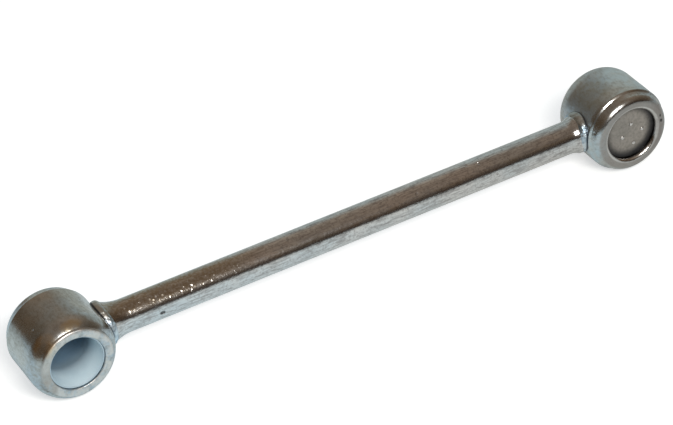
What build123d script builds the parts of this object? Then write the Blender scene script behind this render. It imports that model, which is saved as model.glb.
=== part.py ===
from build123d import *
import math
import os

# Gear shift rod: a round steel shank between two identical ball sockets, welded crosswise and
# turned half a turn from each other, so that one socket opens forwards and the other backwards.
# Frame: origin at the middle of the shank's axis, +X to the right socket, +Y the way the right
# socket opens, +Z up. Millimetres. A socket is drawn about the Y axis with its mouth to -Y.

# Whole rod
centre_distance = 148.0
shank_radius = 4.0

# Socket housing, outside: rolled mouth, barrel, shoulder and the collar rolled over the cover
housing_radius = 10.65
mouth_reach = 9.9
mouth_crest_radius = 7.95
mouth_nose_round = 1.3
mouth_nose_turn = 40
back_reach = 8.5
shoulder_chamfer = 0.45
collar_reach = 2.72
collar_taper = 13
collar_round = 2.0
collar_crest_radius = 8.0

# Socket housing, inside: opening, mouth flange, bore and the lip that holds the cover
mouth_radius = 6.75
mouth_dish = 0.1
mouth_edge = 0.22
mouth_flange = 1.8
bore_radius = 8.1
lip_crest_radius = 7.8
lip_round = 1.2

# Cover plate under the lip, with four raised pips a little off its middle
cover_radius = 8.05
cover_thickness = 0.7
cover_edge = 0.15
pip_circle_radius = 2.8
pip_circle_shift = (-0.55, -0.4)
pip_turn = 5
pip_radius = 0.42
pip_height = 0.26
pip_count = 4

# Plastic ball seat for a 13 mm ball: spherical band, snap throat, flared lip, open heel
ball_radius = 6.5
ball_band_height = 3.5
throat_radius = 6.2
throat_outer_depth = 4.9
seat_lip_depth = 0.6
seat_lip_radius = 6.4
seat_lip_edge = 0.12
seat_neck_radius = 6.7
seat_heel_edge = 0.3

# Swollen shank ends and the weld beads at their feet, measured from the socket axis;
# the left end is flared and welded more heavily than the right one
swell_start = {"left": 16.4, "right": 14.0}
swell_arc = {"left": 11.0, "right": 6.0}
swell_radius = {"left": 5.3, "right": 4.4}
bead_radius = {"left": 5.8, "right": 5.1}
bead_reach = {"left": 12.6, "right": 12.2}
bead_chamfer = {"left": 0.8, "right": 0.6}

# Heights along a socket's axis that its pieces share
flange_inside = -mouth_reach + mouth_flange
lip_underside = back_reach - lip_round
cover_underside = lip_underside - cover_thickness


def turned(*lines):
    """A solid turned about the Y axis from a closed outline drawn in radius and height."""
    return revolve(make_face(Curve() + list(lines)), Axis.Y)


def make_housing():
    """The steel sleeve: rolled mouth, barrel, shoulder, and a collar rolled over the cover."""
    lean = math.sin(math.radians(mouth_nose_turn))
    nose_centre = (mouth_crest_radius, -mouth_reach + mouth_nose_round)
    shoulder_room = housing_radius - mouth_crest_radius - mouth_nose_round * lean
    mouth_sweep = shoulder_room / (1 - lean)
    rise = (mouth_sweep - mouth_nose_round) * math.cos(math.radians(mouth_nose_turn))
    sweep_centre = (housing_radius - mouth_sweep, nose_centre[1] + rise)
    nose = CenterArc(nose_centre, mouth_nose_round, -90, mouth_nose_turn)
    sweep = CenterArc(sweep_centre, mouth_sweep, mouth_nose_turn - 90, 90 - mouth_nose_turn)
    collar_centre = (collar_crest_radius, back_reach - collar_round)
    collar_rim = CenterArc(collar_centre, collar_round, collar_taper, 90 - collar_taper)
    # The lip's round is drawn as two flats, which keeps the facets down.
    lip = CenterArc((lip_crest_radius, lip_underside), lip_round, 90, 90)
    shoulder = back_reach - collar_reach
    collar_height = (collar_rim @ 0).Y - shoulder
    collar_foot = (collar_rim @ 0).X + collar_height * math.tan(math.radians(collar_taper))
    mouth_face = -mouth_reach + mouth_dish
    mouth = Polyline(
        (mouth_radius, flange_inside),
        (mouth_radius, mouth_face + mouth_edge),
        (mouth_radius + mouth_edge, mouth_face),
        nose @ 0,
    )
    barrel = Polyline(
        sweep @ 1,
        (housing_radius, shoulder - shoulder_chamfer),
        (collar_foot, shoulder),
        collar_rim @ 0,
    )
    crest = Line(collar_rim @ 1, lip @ 0)
    inside = Polyline(
        lip @ 0,
        lip @ 0.5,
        lip @ 1,
        (bore_radius, lip_underside),
        (bore_radius, flange_inside),
        (mouth_radius, flange_inside),
    )
    return turned(mouth, nose, sweep, barrel, collar_rim, crest, inside)


def make_seat():
    """The plastic ball seat that fills the bore: lip, throat, spherical band and open heel."""
    lip = -mouth_reach + seat_lip_depth
    band_start = -math.degrees(math.acos(throat_radius / ball_radius))
    band_end = math.degrees(math.asin(ball_band_height / ball_radius))
    band = CenterArc((0, 0), ball_radius, band_start, band_end - band_start)
    heel_slope = (band @ 1).Y / (band @ 1).X
    heel_radius = (band @ 1).X - (cover_underside - (band @ 1).Y) * heel_slope
    hollow = Polyline(
        (seat_lip_radius + seat_lip_edge, lip),
        (seat_lip_radius, lip + seat_lip_edge),
        (throat_radius, -throat_outer_depth),
        band @ 0,
    )
    outside = Polyline(
        band @ 1,
        (heel_radius, cover_underside),
        (bore_radius - seat_heel_edge, cover_underside),
        (bore_radius, cover_underside - seat_heel_edge),
        (bore_radius, flange_inside),
        (seat_neck_radius, flange_inside),
        (seat_neck_radius, lip + seat_lip_edge),
        (seat_neck_radius - seat_lip_edge, lip),
        (seat_lip_radius + seat_lip_edge, lip),
    )
    return turned(hollow, band, outside)


def make_cover():
    """The cover plate: a thin disc with a ring of pips pressed out of its outer face."""
    plate = turned(
        Polyline(
            (0, cover_underside),
            (cover_radius - cover_edge, cover_underside),
            (cover_radius, cover_underside + cover_edge),
            (cover_radius, lip_underside),
            (0, lip_underside),
            close=True,
        )
    )
    dome = (pip_radius**2 + pip_height**2) / (2 * pip_height)
    for quarter in range(pip_count):
        turn = math.radians(360 / pip_count * quarter + pip_turn)
        x = pip_circle_shift[0] + pip_circle_radius * math.sin(turn)
        z = pip_circle_shift[1] + pip_circle_radius * math.cos(turn)
        pip = Pos(x, lip_underside + pip_height - dome, z) * Sphere(dome)
        plate += pip & (Pos(x, lip_underside, z) * Box(2, 2 * pip_height, 2))
    return plate


def swell_curve(side):
    """The arc of one swollen shank end, drawn from the bar outwards along +X."""
    rise = swell_radius[side] - shank_radius
    turn = math.degrees(math.acos(1 - rise / swell_arc[side]))
    centre = (centre_distance / 2 - swell_start[side], shank_radius + swell_arc[side])
    return CenterArc(centre, swell_arc[side], -90, turn)


def make_shank():
    """The shank with its swollen ends, coped to sit on both barrels."""
    half = centre_distance / 2
    right = swell_curve("right")
    left = mirror(swell_curve("left"), Plane.YZ)
    bar = Line(left @ 0, right @ 0)
    foot = Polyline(
        right @ 1,
        (half, swell_radius["right"]),
        (half, 0),
        (-half, 0),
        (-half, swell_radius["left"]),
        left @ 1,
    )
    shank = revolve(make_face(Curve() + [bar, right, foot, left]), Axis.X)
    for side in (-half, half):
        shank -= Pos(side, 0, 0) * Rot(X=90) * Cylinder(housing_radius, centre_distance)
    return shank


def make_weld(side, housing):
    """The weld bead round the shank's foot, for a socket at the origin and a shank along +X."""
    radius = bead_radius[side]
    reach = bead_reach[side]
    bead = Rot(X=90) * Cylinder(reach, 4 * radius)
    bead &= Pos(reach, 0, 0) * Rot(Y=90) * Cylinder(radius, 2 * reach)
    crest = bead.edges().filter_by(GeomType.BSPLINE).sort_by(Axis.X)[-1]
    bead = chamfer(crest, bead_chamfer[side])
    bead -= Rot(X=90) * Cylinder(bore_radius, 4 * radius)
    return bead - housing


def main():
    os.makedirs("parts", exist_ok=True)
    housing = make_housing()
    seat = make_seat()
    cover = make_cover()
    shank = make_shank()
    parts = {"shank": shank}
    for name, place in (
        ("left", Pos(-centre_distance / 2, 0, 0)),
        ("right", Pos(centre_distance / 2, 0, 0) * Rot(Z=180)),
    ):
        parts["housing_" + name] = place * housing
        parts["ball_seat_" + name] = place * seat
        parts["cover_plate_" + name] = place * cover
        parts["weld_" + name] = place * make_weld(name, housing) - shank
    for name, part in parts.items():
        part.label = name
        export_step(part, "parts/" + name + ".step")
        print(name, round(part.volume, 1), part.is_valid)


main()
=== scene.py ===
import math

import bpy
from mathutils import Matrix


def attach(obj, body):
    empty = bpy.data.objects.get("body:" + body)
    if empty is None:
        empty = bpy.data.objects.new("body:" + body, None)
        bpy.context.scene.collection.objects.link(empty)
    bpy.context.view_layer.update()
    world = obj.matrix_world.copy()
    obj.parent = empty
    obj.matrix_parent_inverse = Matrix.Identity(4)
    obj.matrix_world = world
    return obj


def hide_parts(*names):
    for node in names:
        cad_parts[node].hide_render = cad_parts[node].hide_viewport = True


# gear shift rod: smooth pieces, drawn in mm, stand in for the CAD nodes
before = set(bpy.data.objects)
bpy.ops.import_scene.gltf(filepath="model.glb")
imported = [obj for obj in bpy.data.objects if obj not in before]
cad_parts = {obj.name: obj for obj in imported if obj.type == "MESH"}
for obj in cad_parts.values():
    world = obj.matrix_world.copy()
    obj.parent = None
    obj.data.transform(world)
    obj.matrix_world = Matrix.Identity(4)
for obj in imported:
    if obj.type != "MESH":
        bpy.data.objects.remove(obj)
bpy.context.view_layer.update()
mm = 0.001
sides = ("left", "right")
socketCentre = 74.0  # from the middle of the rod to a socket's axis, mm
print("frame loaded")


# camera at the photograph's angle, long lens
cameraSet = {
    "place": (-0.246873, -0.5149, 0.409311),
    "turn": (54.4754, 5.2161, -29.1247),
    "lens": 161.6,
    "sensor": 36,
    "clipStart": 0.01,
}


def addCamera(values):
    bpy.ops.object.camera_add(
        location=values["place"],
        rotation=[math.radians(angle) for angle in values["turn"]],
    )
    camera = bpy.context.object
    camera.data.lens = values["lens"]
    camera.data.sensor_width = values["sensor"]
    camera.data.clip_start = values["clipStart"]
    bpy.context.scene.camera = camera


addCamera(cameraSet)
print("camera placed")


# small node helpers
def newMaterial(name, **sockets):
    material = bpy.data.materials.new(name)
    material.use_nodes = True
    shader = material.node_tree.nodes["Principled BSDF"]
    for socketName, value in sockets.items():
        shader.inputs[socketName.replace("_", " ")].default_value = value
    return material, shader


def emptyMaterial(name):
    material = bpy.data.materials.new(name)
    material.use_nodes = True
    material.node_tree.nodes.clear()
    return material, material.node_tree


def addNode(tree, kind, settings=None, inputs=None, links=None):
    # inputs and links are keyed by a socket's name or number
    node = tree.nodes.new(kind)
    for name, value in (settings or {}).items():
        setattr(node, name, value)
    for name, value in (inputs or {}).items():
        node.inputs[name].default_value = value
    for name, source in (links or {}).items():
        tree.links.new(source, node.inputs[name])
    return node


def objectCoords(tree):
    return addNode(tree, "ShaderNodeTexCoord").outputs["Object"]


def mapped(tree, place, scale, move=(0, 0, 0)):
    node = addNode(
        tree,
        "ShaderNodeMapping",
        inputs={"Scale": scale, "Location": move},
        links={"Vector": place},
    )
    return node.outputs["Vector"]


def axisPart(tree, axis):
    parts = addNode(tree, "ShaderNodeSeparateXYZ", links={"Vector": objectCoords(tree)})
    return parts.outputs[axis]


def vectorLength(tree, vector):
    node = addNode(tree, "ShaderNodeVectorMath", {"operation": "LENGTH"}, links={0: vector})
    return node.outputs["Value"]


def dotProduct(tree, vector, way):
    node = addNode(
        tree,
        "ShaderNodeVectorMath",
        {"operation": "DOT_PRODUCT"},
        inputs={1: way},
        links={0: vector},
    )
    return node.outputs["Value"]


def noise(tree, place, scale, detail, roughness=0.5):
    node = addNode(
        tree,
        "ShaderNodeTexNoise",
        inputs={"Scale": scale, "Detail": detail, "Roughness": roughness},
        links={"Vector": place},
    )
    return node.outputs["Fac"]


def remap(tree, value, band, result=(0.0, 1.0), smooth=False):
    # what lies in the band is stretched to the result, and what lies outside is clamped
    node = addNode(
        tree,
        "ShaderNodeMapRange",
        {"interpolation_type": "SMOOTHSTEP" if smooth else "LINEAR"},
        {"From Min": band[0], "From Max": band[1], "To Min": result[0], "To Max": result[1]},
        {"Value": value},
    )
    return node.outputs["Result"]


def between(tree, length, band, smooth=True):
    # from 0 to 1 between two lengths in mm
    return remap(tree, length, [edge * mm for edge in band], smooth=smooth)


def combine(tree, operation, first, second=None):
    node = addNode(tree, "ShaderNodeMath", {"operation": operation})
    for target, value in zip(node.inputs, (first, second)):
        if value is None:
            continue
        if isinstance(value, (int, float)):
            target.default_value = value
        else:
            tree.links.new(value, target)
    return node.outputs[0]


def times(tree, first, second):
    return combine(tree, "MULTIPLY", first, second)


def addUp(tree, values):
    total = values[0]
    for value in values[1:]:
        total = combine(tree, "ADD", total, value)
    return total


def mixColors(tree, factor, first, second, blend="MIX"):
    # in a colour mix, the colours are sockets 6 and 7 and the result is output 2
    node = addNode(tree, "ShaderNodeMix", {"data_type": "RGBA", "blend_type": blend})
    tree.links.new(factor, node.inputs["Factor"])
    for target, value in ((node.inputs[6], first), (node.inputs[7], second)):
        if isinstance(value, tuple):
            target.default_value = value
        else:
            tree.links.new(value, target)
    return node.outputs[2]


def mixShaders(tree, factor, first, second):
    node = addNode(tree, "ShaderNodeMixShader", links={0: factor, 1: first, 2: second})
    return node.outputs[0]


def addBump(tree, shader, height, distance):
    bump = addNode(
        tree,
        "ShaderNodeBump",
        inputs={"Strength": 1.0, "Distance": distance},
        links={"Height": height},
    )
    tree.links.new(bump.outputs["Normal"], shader.inputs["Normal"])


def socketPlace(tree, shift=(0, 0)):
    # distance from the nearer socket's axis, height towards that socket's mouth, and x
    parts = addNode(tree, "ShaderNodeSeparateXYZ", links={"Vector": objectCoords(tree)})
    x, y, z = (parts.outputs[axis] for axis in "XYZ")
    across = combine(tree, "ADD", combine(tree, "ABSOLUTE", x), (shift[0] - socketCentre) * mm)
    up = combine(tree, "ADD", z, shift[1] * mm)
    flat = addNode(tree, "ShaderNodeCombineXYZ", links={"X": across, "Y": up})
    mouthwards = times(tree, combine(tree, "SIGN", x), y)
    return vectorLength(tree, flat.outputs[0]), mouthwards, x


# zinc plated steel: what all its finishes share
plating = {
    "detail": 4,
    "cloudScale": 110,
    "grainRoughness": 0.65,
    "skinRoughness": 0.6,
    "toneBand": (0.38, 0.64),
    "dullBand": (0.45, 0.68),
    "speckBand": (0.5, 0.66),
    "roughBand": (0.3, 0.7),
    "spotCore": 0.3,
    "patchCore": 0.55,
    "tintBreakBand": (0.36, 0.6),
    "tintBreakLeast": 0.3,
    "nickColor": (0.08, 0.08, 0.08, 1),
    "nickWeight": 0.9,
    # the colour of the painted shade in the recess
    "recessShadeColor": (0.035, 0.035, 0.04, 1),
}


def speckle(tree, place, scale, share, size):
    # small round spots in a share of the cells, 1 at a spot's middle
    cells = addNode(
        tree,
        "ShaderNodeTexVoronoi",
        inputs={"Scale": scale, "Randomness": 1.0},
        links={"Vector": place},
    )
    chosen = addNode(tree, "ShaderNodeSeparateColor", links={"Color": cells.outputs["Color"]})
    kept = combine(tree, "LESS_THAN", chosen.outputs["Red"], share)
    core = size * plating["spotCore"]
    return times(tree, kept, remap(tree, cells.outputs["Distance"], (size, core), smooth=True))


def patch(tree, place, middle, reach):
    # 1 near a point in mm, 0 beyond the reach, in an ellipsoid
    scale = [1 / (size * mm) for size in reach]
    move = [-centre / size for centre, size in zip(middle, reach)]
    away = vectorLength(tree, mapped(tree, place, scale, move))
    return remap(tree, away, (1.0, plating["patchCore"]), smooth=True)


# a metal in the making holds its colour, its roughness and a list of heights
def tint(tree, metal, mask, weight, color):
    metal["color"] = mixColors(tree, times(tree, mask, weight), metal["color"], color)


def roughen(tree, metal, mask, amount):
    metal["rough"] = combine(tree, "ADD", metal["rough"], times(tree, mask, amount))


def raiseBy(tree, metal, mask, height):
    metal["heights"].append(times(tree, mask, height))


def startMetal(tree, values):
    place = objectCoords(tree)
    drawn = mapped(tree, place, values["stretch"])
    detail = plating["detail"]
    clouds = noise(tree, place, plating["cloudScale"], detail)
    grain = noise(tree, drawn, values["grainScale"], detail, plating["grainRoughness"])
    skin = noise(tree, place, values["skinScale"], detail, plating["skinRoughness"])
    radius, mouthwards, x = socketPlace(tree)
    tone = remap(tree, clouds, plating["toneBand"])
    metal = {
        "place": place,
        "clouds": clouds,
        "skin": skin,
        "radius": radius,
        "mouthwards": mouthwards,
        "x": x,
        "dark": values["dark"],
        "color": mixColors(tree, tone, values["cool"], values["warm"]),
        "rough": remap(tree, grain, plating["roughBand"], values["roughness"]),
        "heights": [],
    }
    dull = remap(tree, grain, plating["dullBand"])
    specks = remap(tree, skin, plating["speckBand"])
    tint(tree, metal, dull, values["dull"], values["dark"])
    tint(tree, metal, specks, values["specks"], values["dark"])
    raiseBy(tree, metal, grain, values["grainDepth"])
    raiseBy(tree, metal, skin, values["skinDepth"])
    return metal


def addPits(tree, metal, pitKinds):
    for pits in pitKinds:
        spots = speckle(tree, metal["place"], pits["scale"], pits["share"], pits["size"])
        if "middle" in pits:
            near = patch(tree, metal["place"], pits["middle"], pits["reach"])
            spots = times(tree, spots, near)
        raiseBy(tree, metal, spots, -pits["depth"])
        roughen(tree, metal, spots, pits["rough"])
        if "shade" in pits:
            tint(tree, metal, spots, pits["shade"], metal["dark"])


# the top is tinted warmer: a tint of the weld, partly a painted reflection of the brown room
def addTopTintAndReflection(tree, metal, values):
    upper = between(tree, axisPart(tree, "Z"), values["height"])
    tint(tree, metal, upper, values["weight"], values["color"])


# painted shade: the weld is darkened in a band where it meets the barrel
def addCreaseShade(tree, metal, values):
    corner = between(tree, metal["radius"], values["radius"])
    tint(tree, metal, corner, values["weight"], values["color"])


def addDarkerCrest(tree, metal, values):
    crest = between(tree, metal["mouthwards"], values["height"])
    crestPatches = remap(tree, metal["clouds"], values["patchBand"], (values["patchLeast"], 1.0))
    tint(tree, metal, times(tree, crest, crestPatches), 1.0, values["color"])
    raiseBy(tree, metal, times(tree, metal["skin"], crest), values["skinDepth"])


# painted highlight: the inner edge of the rolled lip is painted bright
def addInnerEdgeHighlight(tree, metal, values):
    inner = between(tree, metal["radius"], values["radius"])
    deep = between(tree, metal["mouthwards"], values["height"], smooth=False)
    tint(tree, metal, times(tree, inner, deep), values["weight"], values["color"])


def addCutFace(tree, metal, values):
    face = between(tree, metal["mouthwards"], values["height"])
    roughen(tree, metal, face, values["rough"])
    raiseBy(tree, metal, times(tree, metal["clouds"], face), values["depth"])
    raiseBy(tree, metal, times(tree, metal["skin"], face), values["skinDepth"])
    marks = times(tree, remap(tree, metal["skin"], values["markBand"]), face)
    tint(tree, metal, marks, values["weight"], values["color"])


# stains, and patches of painted reflection where the metal stands in for a darker or paler room
def addStainsAndPaintedLight(tree, metal, stainsAndPaintedLight):
    for tintPatch in stainsAndPaintedLight:
        spread = patch(tree, metal["place"], tintPatch["middle"], tintPatch["reach"])
        broken = remap(
            tree, metal["skin"], plating["tintBreakBand"], (plating["tintBreakLeast"], 1.0)
        )
        tint(tree, metal, times(tree, spread, broken), tintPatch["weight"], tintPatch["color"])


def addNicks(tree, metal, nicks):
    for nick in nicks:
        dent = patch(tree, metal["place"], nick["middle"], nick["reach"])
        tint(tree, metal, dent, plating["nickWeight"], plating["nickColor"])
        raiseBy(tree, metal, dent, -nick["depth"])


def addHaze(tree, metal, values):
    barrel = between(tree, metal["mouthwards"], values["height"])
    rightOnly = combine(tree, "GREATER_THAN", metal["x"], 0)
    roughen(tree, metal, times(tree, barrel, rightOnly), values["rough"])


# painted shade: a dark ring in the recess, moved off centre on the plate
def addRecessShade(tree, metal, values):
    radius = socketPlace(tree, values["shift"])[0]
    ring = between(tree, radius, values["radius"])
    deep = between(tree, metal["mouthwards"], values["height"], smooth=False)
    tint(tree, metal, times(tree, ring, deep), values["weight"], plating["recessShadeColor"])


# painted highlight: the pips are painted brighter
def addPipHighlight(tree, metal, values):
    proud = between(tree, metal["mouthwards"], values["height"], smooth=False)
    tint(tree, metal, proud, 1.0, values["color"])
    roughen(tree, metal, proud, values["rough"])


# the later ones lie over the earlier ones
metalFeatures = {
    "pits": addPits,
    "topTintAndReflection": addTopTintAndReflection,  # warmer above: a tint of the weld, partly a painted reflection of the brown room
    "creaseShade": addCreaseShade,  # painted shade in the corner between bead and barrel
    "darkerCrest": addDarkerCrest,  # the rolled crest is darker and browner in broken patches, with a bumpier skin
    "innerEdgeHighlight": addInnerEdgeHighlight,  # but painted bright along its inner edge, a painted highlight
    "cutFace": addCutFace,  # the sawn mouth is duller and more uneven than the barrel
    "stainsAndPaintedLight": addStainsAndPaintedLight,
    "nicks": addNicks,
    "haze": addHaze,  # the right barrel is hazy, its rolled collar stays bright
    "recessShade": addRecessShade,  # painted shade in the recess under the rolled lip, on its wall and on the plate's edge
    "pipHighlight": addPipHighlight,  # the pips stand proud of the plate and are painted brighter, a painted highlight
}


def zincSteel(name, values):
    material, shader = newMaterial(name, Metallic=1.0)
    tree = material.node_tree
    metal = startMetal(tree, values)
    for feature, addFeature in metalFeatures.items():
        if feature in values:
            addFeature(tree, metal, values[feature])
    tree.links.new(metal["color"], shader.inputs["Base Color"])
    tree.links.new(metal["rough"], shader.inputs["Roughness"])
    addBump(tree, shader, addUp(tree, metal["heights"]), mm)
    return material


shankZinc = zincSteel(
    "shankZinc",
    {
        "cool": (0.73, 0.76, 0.78, 1),
        "warm": (0.79, 0.77, 0.76, 1),
        "dark": (0.34, 0.32, 0.32, 1),
        "dull": 0.85,
        "specks": 0.6,
        "stretch": (0.14, 1, 1),
        "grainScale": 2200,
        "grainDepth": 0.016,
        "skinScale": 1700,
        "skinDepth": 0.026,
        "roughness": (0.1, 0.22),
        "pits": [
            {
                "scale": 950,
                "share": 0.55,
                "size": 0.4,
                "depth": 0.03,
                "rough": 0.3,
                "middle": (-53.5, -2.2, 3.3),
                "reach": (7.5, 2.6, 2.6),
            },
            {
                "scale": 1300,
                "share": 0.4,
                "size": 0.36,
                "depth": 0.02,
                "rough": 0.26,
                "middle": (-39, -2.5, 3.2),
                "reach": (14, 2.6, 2.6),
            },
            {
                "scale": 620,
                "share": 0.07,
                "size": 0.34,
                "depth": 0.05,
                "rough": 0.1,
                "shade": 0.5,
            },
        ],
        # painted reflection: the top of the shank's left half is darker and browner, as the
        # brown room mirrored there
        "stainsAndPaintedLight": [
            {
                "middle": (-48.0, -1.4, 4.6),
                "reach": (30.0, 4.2, 3.6),
                "color": (0.42, 0.35, 0.25, 1),
                "weight": 0.9,
            }
        ],
        "nicks": [{"middle": (-50.1, -3.99, -0.2), "reach": (0.9, 0.6, 0.5), "depth": 0.15}],
    },
)
housingZinc = zincSteel(
    "housingZinc",
    {
        "cool": (0.52, 0.6, 0.67, 1),
        "warm": (0.63, 0.62, 0.59, 1),
        "dark": (0.34, 0.31, 0.26, 1),
        "dull": 0.6,
        "specks": 0.25,
        "stretch": (1, 0.5, 1),
        "grainScale": 1500,
        "grainDepth": 0.01,
        "skinScale": 420,
        "skinDepth": 0.05,
        "roughness": (0.16, 0.28),
        "pits": [
            {"scale": 420, "share": 0.06, "size": 0.22, "depth": 0.07, "rough": 0.1},
            {
                "scale": 900,
                "share": 0.3,
                "size": 0.4,
                "depth": 0.1,
                "rough": 0.1,
                "shade": 0.8,
                "middle": (-81.2, -9.9, -4.4),
                "reach": (4.5, 1.5, 4.5),
            },
        ],
        "stainsAndPaintedLight": [
            {
                "middle": (-81.4, -8.6, 7.4),
                "reach": (4.2, 3.2, 4.0),
                "color": (0.78, 0.58, 0.32, 1),
                "weight": 0.6,
            },
            {
                "middle": (-73.6, -8.4, 10.2),
                "reach": (3.6, 1.6, 2.2),
                "color": (0.78, 0.62, 0.34, 1),
                "weight": 0.5,
            },
            {
                "middle": (-82.0, -9.9, -3.2),
                "reach": (3.2, 1.8, 5.0),
                "color": (0.22, 0.18, 0.14, 1),
                "weight": 0.45,
            },
            {
                "middle": (-81.3, -9.9, 2.6),
                "reach": (2.6, 1.6, 5.0),
                "color": (0.42, 0.4, 0.37, 1),
                "weight": 0.4,
            },
            # darker on the right of the rolled ring
            {
                "middle": (83.4, -7.6, -0.5),
                "reach": (6.0, 5.5, 10.5),
                "color": (0.26, 0.21, 0.2, 1),
                "weight": 0.42,
            },
            # painted reflection: the top of the right barrel is paler and bluer
            {
                "middle": (78.5, 1.5, 8.8),
                "reach": (8.5, 7.0, 6.5),
                "color": (0.8, 0.93, 1.0, 1),
                "weight": 0.62,
            },
            {
                "middle": (64.0, -5.6, -2.5),
                "reach": (3.6, 3.4, 7.5),
                "color": (0.62, 0.84, 0.98, 1),
                "weight": 0.55,
            },
            {
                "middle": (68.6, 0.4, 9.2),
                "reach": (5.5, 6.5, 4.5),
                "color": (0.42, 0.39, 0.29, 1),
                "weight": 0.4,
            },
        ],
        "nicks": [
            {"middle": (81.9, -8.5, 2.5), "reach": (0.3, 0.6, 0.45), "depth": 0.1},
            {"middle": (82.1, -8.4, 1.0), "reach": (0.45, 0.7, 0.5), "depth": 0.1},
            {"middle": (80.3, -8.5, -0.6), "reach": (0.25, 0.6, 0.4), "depth": 0.1},
        ],
        "darkerCrest": {
            "height": (-7.9, -8.3),
            "patchBand": (0.3, 0.6),
            "patchLeast": 0.55,
            "skinDepth": 0.04,
            "color": (0.4, 0.375, 0.36, 1),
        },
        "innerEdgeHighlight": {
            "radius": (7.65, 7.35),
            "height": (-7.0, -7.3),
            "weight": 0.8,
            "color": (0.82, 0.81, 0.8, 1),
        },
        "cutFace": {
            "height": (9.3, 9.75),
            "rough": 0.2,
            "depth": 0.25,
            "skinDepth": 0.08,
            "markBand": (0.38, 0.54),
            "weight": 0.75,
            "color": (0.86, 0.81, 0.77, 1),
        },
        "haze": {"height": (-5.1, -3.6), "rough": 0.16},
        "recessShade": {
            "radius": (6.95, 6.65),
            "height": (-6.9, -7.2),
            "shift": (0, 0),
            "weight": 0.95,
        },
    },
)
weldZinc = zincSteel(
    "weldZinc",
    {
        "cool": (0.46, 0.68, 0.86, 1),
        "warm": (0.8, 0.86, 0.9, 1),
        "dark": (0.07, 0.13, 0.21, 1),
        "dull": 0.75,
        "specks": 0.3,
        "stretch": (1, 1, 1),
        "grainScale": 900,
        "grainDepth": 0.08,
        "skinScale": 300,
        "skinDepth": 0.7,
        "roughness": (0.28, 0.4),
        "topTintAndReflection": {"height": (3.6, 4.6), "weight": 0.6, "color": (0.6, 0.53, 0.42, 1)},
        "creaseShade": {"radius": (11.15, 10.85), "weight": 0.9, "color": (0.05, 0.06, 0.08, 1)},
    },
)
coverZinc = zincSteel(
    "coverZinc",
    {
        "cool": (0.42, 0.385, 0.36, 1),
        "warm": (0.48, 0.43, 0.395, 1),
        "dark": (0.24, 0.23, 0.2, 1),
        "dull": 0.6,
        "specks": 0.3,
        "stretch": (1, 1, 1),
        "grainScale": 1500,
        "grainDepth": 0.03,
        "skinScale": 500,
        "skinDepth": 0.03,
        "roughness": (0.3, 0.42),
        "recessShade": {
            "radius": (4.4, 6.7),
            "height": (-6.9, -7.2),
            "shift": (0.45, -0.75),
            "weight": 0.92,
        },
        "pipHighlight": {
            "height": (-7.32, -7.4),
            "rough": -0.04,
            "color": (0.85, 0.83, 0.82, 1),
        },
    },
)


seatPlastic = {
    "pale": (0.74, 0.87, 0.93, 1),
    "deep": (0.66, 0.8, 0.87, 1),
    "cloudScale": 220,
    "cloudDetail": 3,
    "toneBand": (0.35, 0.65),
    "grease": (0.12, 0.19, 0.26, 1),
    "greaseHeight": (7.0, -2.4),
    "rimHeight": (9.05, 9.25),
    "rimDirtAndShade": 0.5,
    "roughness": 0.22,
    "ior": 1.5,
    "specular": 0.5,
    "skinScale": 1500,
    "skinDetail": 2,
    "skinDepth": 0.012,
}


def makeSeatPlastic(values):
    material, shader = newMaterial(
        "seatPlastic",
        Roughness=values["roughness"],
        IOR=values["ior"],
        Specular_IOR_Level=values["specular"],
    )
    tree = material.node_tree
    place = objectCoords(tree)
    clouds = noise(tree, place, values["cloudScale"], values["cloudDetail"])
    tone = remap(tree, clouds, values["toneBand"])
    clean = mixColors(tree, tone, values["pale"], values["deep"])
    # painted shade darkens the hollow towards its depth, and a dark ring along its lip is partly
    # grease and partly painted shade in the gap
    mouthwards = socketPlace(tree)[1]
    depth = between(tree, mouthwards, values["greaseHeight"])
    color = mixColors(tree, depth, clean, values["grease"])
    rim = between(tree, mouthwards, values["rimHeight"], smooth=False)
    color = mixColors(tree, times(tree, rim, values["rimDirtAndShade"]), color, values["grease"])
    tree.links.new(color, shader.inputs["Base Color"])
    skin = noise(tree, place, values["skinScale"], values["skinDetail"])
    addBump(tree, shader, skin, values["skinDepth"] * mm)
    return material


palePlastic = makeSeatPlastic(seatPlastic)
print("materials made")


# turning: an outline is drawn point by point and spun about the Y axis
turning = {"mergeWithin": 0.002, "dissolveWithin": 0.001, "sharpAngle": 30}


def deselect():
    bpy.ops.object.select_all(action="DESELECT")


def startOutline(name, start):
    deselect()
    bpy.ops.mesh.primitive_plane_add(size=mm, location=(0, 0, 0))
    piece = bpy.context.object
    piece.name = piece.data.name = name
    bpy.ops.object.mode_set(mode="EDIT")
    bpy.ops.mesh.merge(type="CENTER")
    bpy.ops.transform.translate(value=(start[0] * mm, start[1] * mm, 0))
    return piece


def drawOutline(start, moves):
    # a move is a straight line to (x, y), or an arc (centre x, centre y, degrees, steps),
    # which turns left for a positive angle
    x, y = start
    for move in moves:
        if len(move) == 2:
            step = ((move[0] - x) * mm, (move[1] - y) * mm, 0)
            bpy.ops.mesh.extrude_vertices_move(TRANSFORM_OT_translate={"value": step})
            x, y = move
            continue
        centreX, centreY, degrees, steps = move
        turn = math.radians(degrees)
        bpy.ops.mesh.spin(
            steps=steps, angle=-turn, center=(centreX * mm, centreY * mm, 0), axis=(0, 0, 1)
        )
        outX, outY = x - centreX, y - centreY
        x = centreX + outX * math.cos(turn) - outY * math.sin(turn)
        y = centreY + outX * math.sin(turn) + outY * math.cos(turn)


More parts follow.
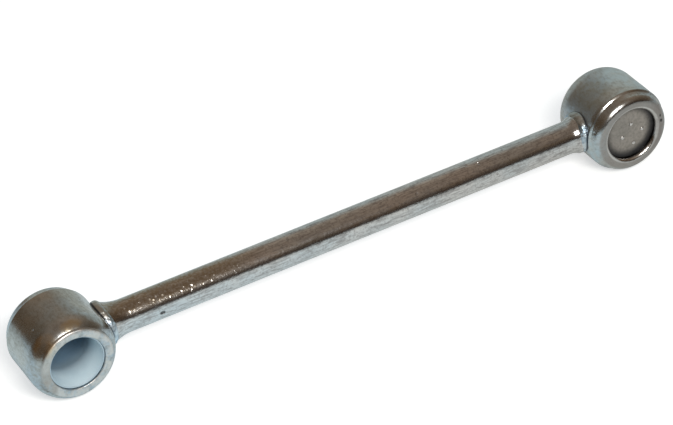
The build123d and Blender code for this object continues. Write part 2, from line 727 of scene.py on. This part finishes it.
def turnOutline(steps):
    bpy.ops.mesh.select_all(action="SELECT")
    bpy.ops.mesh.spin(steps=steps, angle=2 * math.pi, center=(0, 0, 0), axis=(0, 1, 0))
    bpy.ops.mesh.select_all(action="SELECT")
    bpy.ops.mesh.remove_doubles(threshold=turning["mergeWithin"] * mm)
    bpy.ops.mesh.dissolve_degenerate(threshold=turning["dissolveWithin"] * mm)
    bpy.ops.mesh.normals_make_consistent(inside=False)


def sendToSocket(side):
    # sockets are drawn with the mouth towards -Y; the right one is turned half a turn
    bpy.ops.mesh.select_all(action="SELECT")
    if side == "right":
        bpy.ops.transform.rotate(value=math.pi, orient_axis="Z", center_override=(0, 0, 0))
    shift = socketCentre if side == "right" else -socketCentre
    bpy.ops.transform.translate(value=(shift * mm, 0, 0))


def finishPiece(piece, material, node, sharpAngle=turning["sharpAngle"]):
    bpy.ops.object.mode_set(mode="OBJECT")
    piece.data.materials.clear()
    piece.data.materials.append(material)
    bpy.ops.object.shade_smooth_by_angle(angle=math.radians(sharpAngle))
    even = piece.modifiers.new("even", "WEIGHTED_NORMAL")
    even.keep_sharp = True
    bpy.ops.object.modifier_apply(modifier=even.name)
    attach(piece, "root")
    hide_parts(node)


# socket housings, mm
housing = {
    "radius": 10.65,
    "mouthReach": 9.9,
    "mouthRadius": 6.75,
    "mouthDish": 0.1,
    "mouthEdge": 0.3,
    "mouthEdgeTurn": 86,
    "crestRadius": 7.95,
    "noseRound": 1.3,
    "noseTurn": 40,
    "backReach": 8.5,
    "shoulderDrop": 0.62,
    "shoulderRound": 0.4,
    "shoulderTurn": 45,
    "cornerStart": (0.08, -0.06),
    "cornerCentre": (0.2, 0.1),
    "cornerTurn": -32,
    "collarReach": 2.72,
    "collarTaper": 13,
    "collarRound": 2.0,
    "collarCrest": 8.0,
    "lipCrest": 7.8,
    "lipRound": 1.2,
    "boreRadius": 8.1,
    "flange": 1.8,
    "edgeSteps": 7,
    "noseSteps": 10,
    "sweepSteps": 14,
    "shoulderSteps": 6,
    "cornerSteps": 4,
    "collarSteps": 18,
    "lipSteps": 14,
    "steps": 224,
}


def makeHousing(side, size):
    mouth, back = -size["mouthReach"], size["backReach"]
    radius, crest, bore = size["radius"], size["crestRadius"], size["boreRadius"]
    nose, noseTurn = size["noseRound"], size["noseTurn"]
    lean = math.sin(math.radians(noseTurn))
    sweep = (radius - crest - nose * lean) / (1 - lean)
    rise = (sweep - nose) * math.cos(math.radians(noseTurn))
    noseY = mouth + nose
    opening, edge = size["mouthRadius"], size["mouthEdge"]
    edgeY = mouth + size["mouthDish"] + edge
    shoulder = back - size["collarReach"]
    shoulderRound = size["shoulderRound"]
    shoulderY = shoulder - size["shoulderDrop"]
    collar, collarCrest = size["collarRound"], size["collarCrest"]
    taper = math.radians(size["collarTaper"])
    rimX = collarCrest + collar * math.cos(taper)
    rimY = back - collar + collar * math.sin(taper)
    footX = rimX + (rimY - shoulder) * math.tan(taper)
    startX, startY = size["cornerStart"]
    cornerX, cornerY = size["cornerCentre"]
    lipCrest, lipY = size["lipCrest"], back - size["lipRound"]
    start = (opening, mouth + size["flange"])
    # the outline goes from the mouth over the barrel to the lip and back through the bore
    moves = [
        (opening, edgeY),
        (opening + edge, edgeY, size["mouthEdgeTurn"], size["edgeSteps"]),
        (crest, mouth),
        (crest, noseY, noseTurn, size["noseSteps"]),
        (radius - sweep, noseY + rise, 90 - noseTurn, size["sweepSteps"]),
        (radius, shoulderY),
        (radius - shoulderRound, shoulderY, size["shoulderTurn"], size["shoulderSteps"]),
        (footX + startX, shoulder + startY),
        (footX + cornerX, shoulder + cornerY, size["cornerTurn"], size["cornerSteps"]),
        (rimX, rimY),
        (collarCrest, back - collar, 90 - size["collarTaper"], size["collarSteps"]),
        (lipCrest, back),
        (lipCrest, lipY, 90, size["lipSteps"]),
        (bore, lipY),
        (bore, start[1]),
        start,
    ]
    piece = startOutline("housing" + side.capitalize() + "Turned", start)
    drawOutline(start, moves)
    turnOutline(size["steps"])
    sendToSocket(side)
    finishPiece(piece, housingZinc, "housing_" + side)


for side in sides:
    makeHousing(side, housing)
print("housings turned")


seat = {
    "ballRadius": 6.5,
    "bandHeight": 3.5,
    "throatRadius": 6.2,
    "throatDepth": 4.9,
    "throatBlend": 10,
    "lipRadius": 6.4,
    "lipReach": 9.3,
    "lipRound": 0.14,
    "lipTurnOut": -90,
    "lipTurnIn": -88,
    "neckRadius": 6.73,
    "outerRadius": 8.1,
    "outerEdge": 0.3,
    "flangeInside": -8.1,
    "heel": 6.6,
    "bandSteps": 20,
    "lipSteps": 4,
    "throatSteps": 10,
    "steps": 128,
}


def makeSeat(side, size):
    ball, throat, blend = size["ballRadius"], size["throatRadius"], size["throatBlend"]
    outer, edge, neck = size["outerRadius"], size["outerEdge"], size["neckRadius"]
    band, heel, inside = size["bandHeight"], size["heel"], size["flangeInside"]
    lip, lipRadius, lipRound = -size["lipReach"], size["lipRadius"], size["lipRound"]
    turn = math.acos((throat + blend) / (ball + blend))
    bandStart = -math.degrees(turn)
    bandEnd = math.degrees(math.asin(band / ball))
    bandRadius = ball * math.cos(math.radians(bandEnd))
    heelRadius = bandRadius - (heel - band) * band / bandRadius
    throatY = -(ball + blend) * math.sin(turn)
    start = (ball * math.cos(turn), -ball * math.sin(turn))
    # the outline goes from the ball's band over the heel and outside to the lip and throat
    moves = [
        (0, 0, bandEnd - bandStart, size["bandSteps"]),
        (heelRadius, heel),
        (outer - edge, heel),
        (outer, heel - edge),
        (outer, inside),
        (neck, inside),
        (neck, lip + lipRound),
        (neck - lipRound, lip + lipRound, size["lipTurnOut"], size["lipSteps"]),
        (lipRadius + lipRound, lip),
        (lipRadius + lipRound, lip + lipRound, size["lipTurnIn"], size["lipSteps"]),
        (throat, -size["throatDepth"]),
        (throat, throatY),
        (throat + blend, throatY, bandStart, size["throatSteps"]),
    ]
    piece = startOutline("ballSeat" + side.capitalize() + "Moulded", start)
    drawOutline(start, moves)
    turnOutline(size["steps"])
    sendToSocket(side)
    finishPiece(piece, palePlastic, "ball_seat_" + side)


for side in sides:
    makeSeat(side, seat)
print("ball seats moulded")


cover = {
    "radius": 8.05,
    "edge": 0.15,
    "top": 7.3,
    "bottom": 6.6,
    "pipCount": 4,
    "pipCircle": 2.8,
    "pipShift": (-0.55, -0.4),
    "pipTurn": 5,
    "pipRadius": 0.52,
    "pipHeight": 0.26,
    "pipSink": 0.02,
    "pipSegments": 24,
    "pipRings": 16,
    "steps": 96,
}


def addPip(size, number):
    # the cap of a ball that reaches a little into the plate
    radius, height, circle = size["pipRadius"], size["pipHeight"], size["pipCircle"]
    dome = (radius**2 + height**2) / (2 * height)
    turn = math.radians(360 / size["pipCount"] * number + size["pipTurn"])
    place = (
        (size["pipShift"][0] + circle * math.sin(turn)) * mm,
        (size["top"] + height - dome) * mm,
        (size["pipShift"][1] + circle * math.cos(turn)) * mm,
    )
    bpy.ops.mesh.select_all(action="DESELECT")
    bpy.ops.mesh.primitive_uv_sphere_add(
        segments=size["pipSegments"],
        ring_count=size["pipRings"],
        radius=dome * mm,
        location=place,
    )
    bpy.ops.mesh.bisect(
        plane_co=(0, (size["top"] - size["pipSink"]) * mm, 0),
        plane_no=(0, 1, 0),
        use_fill=True,
        clear_inner=True,
    )


def makeCover(side, size):
    radius, edge, bottom, top = size["radius"], size["edge"], size["bottom"], size["top"]
    start = (0, bottom)
    moves = [
        (radius - edge, bottom),
        (radius, bottom + edge),
        (radius, top),
        (0, top),
    ]
    piece = startOutline("coverPlate" + side.capitalize() + "Pressed", start)
    drawOutline(start, moves)
    turnOutline(size["steps"])
    for number in range(size["pipCount"]):
        addPip(size, number)
    bpy.ops.mesh.select_all(action="SELECT")
    bpy.ops.mesh.normals_make_consistent(inside=False)
    sendToSocket(side)
    finishPiece(piece, coverZinc, "cover_plate_" + side)


for side in sides:
    makeCover(side, cover)
print("cover plates pressed")


shank = {
    "radius": 4.0,
    "swellStart": {"left": 16.4, "right": 13.8},
    "swellArc": {"left": 11.0, "right": 4.6},
    "swellRadius": {"left": 5.3, "right": 4.65},
    "swellSteps": {"left": 18, "right": 14},
    "foot": 8.7,
    "steps": 192,
}


def makeShank(size):
    radius, foot = size["radius"], socketCentre - size["foot"]
    arc, swell, steps = size["swellArc"], size["swellRadius"], size["swellSteps"]
    straight, turn = {}, {}
    for side in sides:
        rise = swell[side] - radius
        straight[side] = socketCentre - size["swellStart"][side]
        turn[side] = math.degrees(math.acos(1 - rise / arc[side]))
    flare = arc["left"] * math.sin(math.radians(turn["left"]))
    start = (0, -foot)
    moves = [
        (swell["left"], -foot),
        (swell["left"], -straight["left"] - flare),
        (radius + arc["left"], -straight["left"], -turn["left"], steps["left"]),
        (radius, 0),
        (radius, straight["right"]),
        (radius + arc["right"], straight["right"], -turn["right"], steps["right"]),
        (swell["right"], foot),
        (0, foot),
    ]
    piece = startOutline("shankDrawn", start)
    drawOutline(start, moves)
    turnOutline(size["steps"])
    bpy.ops.mesh.select_all(action="SELECT")
    bpy.ops.transform.rotate(value=math.pi / 2, orient_axis="Z", center_override=(0, 0, 0))
    finishPiece(piece, shankZinc, "shank")


makeShank(shank)
print("shank drawn")


weld = {
    "ringRadius": {"left": 4.35, "right": 3.2},
    "beadRadius": {"left": 1.35, "right": 1.85},
    "reach": {"left": 11.1, "right": 10.4},
    "lean": {"left": (0.05, 0.05), "right": (0.1, 0.45)},
    "ringStart": 30.0,
    "around": 144,
    "beadSteps": 10,
    "formerLength": 40.0,
    "formerSides": 512,
    "sharpAngle": 60,
}


def makeWeld(side, size):
    # a ring is pressed onto a round former from outside, and a bead is swept along it
    deselect()
    bpy.ops.mesh.primitive_cylinder_add(
        vertices=size["formerSides"],
        radius=size["reach"][side] * mm,
        depth=size["formerLength"] * mm,
        rotation=(math.pi / 2, 0, 0),
    )
    former = bpy.context.object
    deselect()
    leanY, leanZ = size["lean"][side]
    bpy.ops.mesh.primitive_circle_add(
        vertices=size["around"],
        radius=size["ringRadius"][side] * mm,
        location=(size["ringStart"] * mm, leanY * mm, leanZ * mm),
        rotation=(0, math.pi / 2, 0),
    )
    ring = bpy.context.object
    bpy.ops.object.transform_apply(location=True, rotation=True, scale=True)
    wrap = ring.modifiers.new("wrap", "SHRINKWRAP")
    wrap.wrap_method = "PROJECT"
    wrap.use_project_x = True
    wrap.use_negative_direction = True
    wrap.use_positive_direction = False
    wrap.target = former
    bpy.ops.object.modifier_apply(modifier=wrap.name)
    bpy.ops.object.convert(target="CURVE")
    curve = bpy.context.object.data
    curve.bevel_depth = size["beadRadius"][side] * mm
    curve.bevel_resolution = size["beadSteps"]
    bpy.ops.object.convert(target="MESH")
    piece = bpy.context.object
    piece.name = piece.data.name = "weld" + side.capitalize() + "Bead"
    bpy.data.objects.remove(former)
    bpy.ops.object.mode_set(mode="EDIT")
    bpy.ops.mesh.select_all(action="SELECT")
    bpy.ops.mesh.remove_doubles(threshold=turning["mergeWithin"] * mm)
    bpy.ops.mesh.normals_make_consistent(inside=False)
    sendToSocket(side)
    finishPiece(piece, weldZinc, "weld_" + side, size["sharpAngle"])


for side in sides:
    makeWeld(side, weld)
print("weld beads laid")


# the floor that the rod lies on, in metres
floorSet = {
    "level": -housing["radius"] * mm,
    "size": 8.0,
    "shown": (0.8, 0.8, 0.8, 1),
    "lift": 0.5,
    "leftEnd": (0.8, 0.93, 0.98, 1),
    "rightEnd": (0.74, 0.76, 0.74, 1),
    "endBand": (-0.09, 0.05),
    "farBand": (0.04, 0.2),
    "far": 0.72,
}


def makeFloor(values):
    deselect()
    bpy.ops.mesh.primitive_plane_add(size=values["size"], location=(0, 0, values["level"]))
    floor = bpy.context.object
    floor.name = "floor"
    material, tree = emptyMaterial("paleFloor")
    plain = addNode(tree, "ShaderNodeBsdfDiffuse", inputs={"Color": values["shown"]})
    lift = addNode(tree, "ShaderNodeEmission", inputs={"Strength": values["lift"]})
    shown = addNode(tree, "ShaderNodeAddShader", links={0: plain.outputs[0], 1: lift.outputs[0]})
    # the metal sees a floor that is cooler to the left and darkens away from the part
    out = vectorLength(tree, objectCoords(tree))
    away = remap(tree, out, values["farBand"], (1, values["far"]))
    right = remap(tree, axisPart(tree, "X"), values["endBand"])
    ends = mixColors(tree, right, values["leftEnd"], values["rightEnd"])
    dimmed = addNode(
        tree, "ShaderNodeVectorMath", {"operation": "SCALE"}, links={0: ends, "Scale": away}
    )
    mirrored = addNode(tree, "ShaderNodeBsdfDiffuse", links={"Color": dimmed.outputs[0]})
    path = addNode(tree, "ShaderNodeLightPath")
    surface = mixShaders(
        tree, path.outputs["Is Camera Ray"], mirrored.outputs[0], shown.outputs[0]
    )
    addNode(tree, "ShaderNodeOutputMaterial", links={"Surface": surface})
    floor.data.materials.append(material)


makeFloor(floorSet)

# a low pale card behind the part, which only reflections see, in metres
card = {
    "towards": 135.0,
    "distance": 0.106,
    "shift": -0.0686,
    "width": 0.293,
    "top": 0.138,
    "soft": 0.1,
    "color": (0.41, 0.45, 0.43, 1),
}


def makeCard(values):
    deselect()
    towards = math.radians(values["towards"])
    out, along = values["distance"], values["shift"]
    low, top = floorSet["level"], values["top"]
    place = (
        out * math.sin(towards) - along * math.cos(towards),
        -out * math.cos(towards) - along * math.sin(towards),
        (low + top) / 2,
    )
    bpy.ops.mesh.primitive_plane_add(
        size=1, location=place, rotation=(math.pi / 2, 0, towards)
    )
    sheet = bpy.context.object
    sheet.name = "reflectorCard"
    sheet.scale = (values["width"], top - low, 1)
    bpy.ops.object.transform_apply(location=True, rotation=True, scale=True)
    material, tree = emptyMaterial("paleCard")
    glow = addNode(tree, "ShaderNodeEmission", inputs={"Color": values["color"]})
    clear = addNode(tree, "ShaderNodeBsdfTransparent")
    edge = remap(tree, axisPart(tree, "Z"), (top - values["soft"], top))
    surface = mixShaders(tree, edge, glow.outputs[0], clear.outputs[0])
    addNode(tree, "ShaderNodeOutputMaterial", links={"Surface": surface})
    sheet.data.materials.append(material)
    sheet.visible_camera = False
    sheet.visible_diffuse = False
    sheet.visible_shadow = False


makeCard(card)


surroundings = {
    "roomLow": (0.098, 0.066, 0.04, 1),
    "roomHigh": (0.215, 0.165, 0.125, 1),
    "roomBand": (0.42, 0.88),
    "lobe": (0.11, 0.1, 0.082, 1),
    "lobeWay": (0.574, 0.819, 0.0),
    "lobeBand": (0.2, 0.75),
    "base": (0.036, 0.026, 0.02, 1),
    "baseFront": (-0.3, -0.7),
    "baseBand": (0.62, 0.1),
    "ground": (0.4, 0.43, 0.42, 1),
    "groundTilt": (-0.0101, 0.0218, 1.0),
    "groundTop": 0.054,
    "groundSoft": 0.012,
    "fill": (0.92, 0.97, 1.0, 1),
    "fillStrength": 0.45,
    "backdrop": (1, 1, 1, 1),
}


def makeRoom(tree, values):
    # what the metal mirrors: a dark room over a pale ground
    way = addNode(tree, "ShaderNodeTexCoord").outputs["Generated"]
    parts = addNode(tree, "ShaderNodeSeparateXYZ", links={"Vector": way})
    height = remap(tree, parts.outputs["Z"], values["roomBand"], smooth=True)
    room = mixColors(tree, height, values["roomLow"], values["roomHigh"])
    # the room is paler behind the part's right end
    facing = remap(tree, dotProduct(tree, way, values["lobeWay"]), values["lobeBand"])
    room = mixColors(tree, facing, room, values["lobe"], "ADD")
    # and darkest low down in front
    front = remap(tree, parts.outputs["Y"], values["baseFront"])
    low = remap(tree, parts.outputs["Z"], values["baseBand"], smooth=True)
    room = mixColors(tree, times(tree, front, low), room, values["base"])
    # the ground's far edge stands a little higher in front than behind
    top, soft = values["groundTop"], values["groundSoft"]
    tilted = dotProduct(tree, way, values["groundTilt"])
    above = remap(tree, tilted, (top - soft, top + soft))
    return mixColors(tree, above, values["ground"], room)


def makeSurroundings(values):
    world = bpy.data.worlds.new("studio")
    bpy.context.scene.world = world
    world.use_nodes = True
    world.cycles.sampling_method = "NONE"
    tree = world.node_tree
    tree.nodes.clear()
    room = makeRoom(tree, values)
    mirrored = addNode(tree, "ShaderNodeBackground", links={"Color": room})
    fill = addNode(
        tree,
        "ShaderNodeBackground",
        inputs={"Color": values["fill"], "Strength": values["fillStrength"]},
    )
    backdrop = addNode(tree, "ShaderNodeBackground", inputs={"Color": values["backdrop"]})
    path = addNode(tree, "ShaderNodeLightPath")
    lit = mixShaders(tree, path.outputs["Is Glossy Ray"], fill.outputs[0], mirrored.outputs[0])
    shown = mixShaders(tree, path.outputs["Is Camera Ray"], lit, backdrop.outputs[0])
    addNode(tree, "ShaderNodeOutputWorld", links={"Surface": shown})


makeSurroundings(surroundings)

keyLamp = {
    "azimuth": -8.0,
    "elevation": 41.5,
    "distance": 0.8,
    "width": 0.3,
    "height": 0.17,
    "power": 4.0,
    "color": (1.0, 0.97, 0.92),
}


def addKeyLamp(values):
    azimuth = math.radians(values["azimuth"])
    elevation = math.radians(values["elevation"])
    way = (
        math.sin(azimuth) * math.cos(elevation),
        -math.cos(azimuth) * math.cos(elevation),
        math.sin(elevation),
    )
    bpy.ops.object.light_add(
        type="AREA",
        location=[values["distance"] * part for part in way],
        rotation=(math.pi / 2 - elevation, 0, azimuth),
    )
    lamp = bpy.context.object
    lamp.name = "keyLamp"
    lamp.data.shape = "RECTANGLE"
    lamp.data.size = values["width"]
    lamp.data.size_y = values["height"]
    lamp.data.energy = values["power"]
    lamp.data.color = values["color"]


addKeyLamp(keyLamp)
print("floor and lights set")

bpy.context.scene.view_settings.view_transform = "Standard"
